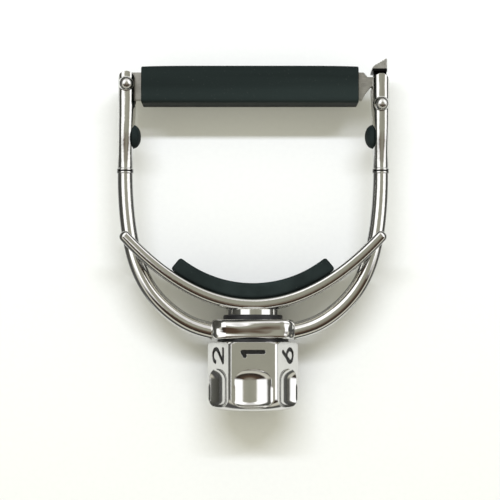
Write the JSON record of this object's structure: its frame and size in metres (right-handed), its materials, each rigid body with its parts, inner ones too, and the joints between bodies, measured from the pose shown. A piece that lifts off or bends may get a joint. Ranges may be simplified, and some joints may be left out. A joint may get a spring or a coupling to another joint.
{
  "type": "guitar capo",
  "caption": "Screw-action guitar capo: rod yoke with bumpered posts, hinged latching string bar and a padded forked saddle raised by a numbered knob.",
  "frame": {"origin": "on the screw axis, mid depth, on the flat underside of the string bar's sleeve", "axes": "+Z from the knob towards the string bar, +X across the neck from hinge to latch, +Y along the strings"},
  "size_m": [0.0655, 0.019, 0.0841],
  "materials": {
    "polished_chrome": "polished",
    "plated_steel": "fine brushed plating",
    "spring_steel": "drawn wire",
    "black_rubber": "matte",
    "black_nylon": "satin",
    "black_enamel": "gloss",
    "brass": "machined"
  },
  "bodies": {
    "frame": {"yoke_block": "polished_chrome", "left_rod": "polished_chrome", "right_rod": "polished_chrome", "hinge_post": "polished_chrome", "latch_post": "polished_chrome", "hinge_pin": "polished_chrome", "latch_pin": "polished_chrome", "left_bumper": "black_rubber", "right_bumper": "black_rubber", "guide_bush": "black_nylon", "thrust_washer": "black_nylon", "retaining_ring": "spring_steel", "latch_spring": "spring_steel"},
    "bar": {"bar_core": "plated_steel", "bar_sleeve": "black_rubber"},
    "latch": {"latch_lever": "plated_steel"},
    "knob": {"knob_shell": "polished_chrome", "number_inlays": "black_enamel", "lead_screw": "plated_steel", "knob_screw": "plated_steel"},
    "saddle": {"saddle": "polished_chrome", "saddle_pad": "black_rubber", "stem_tube": "polished_chrome", "thread_insert": "brass"}
  },
  "joints": [
    {"name": "bar_hinge", "type": "hinge", "parent": "frame", "child": "bar", "pos_m": [-0.03035, 0, 0.00465], "axis": [0, -1, 0], "range_deg": [0, 110]},
    {"name": "latch_pivot", "type": "hinge", "parent": "frame", "child": "latch", "pos_m": [0.0308, 0, -0.0002], "axis": [0, 1, 0], "range_deg": [0, 12], "deforming": ["latch_spring"]},
    {"name": "knob_turn", "type": "hinge", "parent": "frame", "child": "knob", "pos_m": [0, 0, -0.07315], "axis": [0, 0, 1], "range_deg": [0, 2100]},
    {"name": "saddle_slide", "type": "slide", "parent": "frame", "child": "saddle", "axis": [0, 0, 1], "range_m": [0, 0.0175]}
  ],
  "couplings": [
    {"joint": "saddle_slide", "follows": "knob_turn", "m_per_rad": 0.00047746}
  ]
}
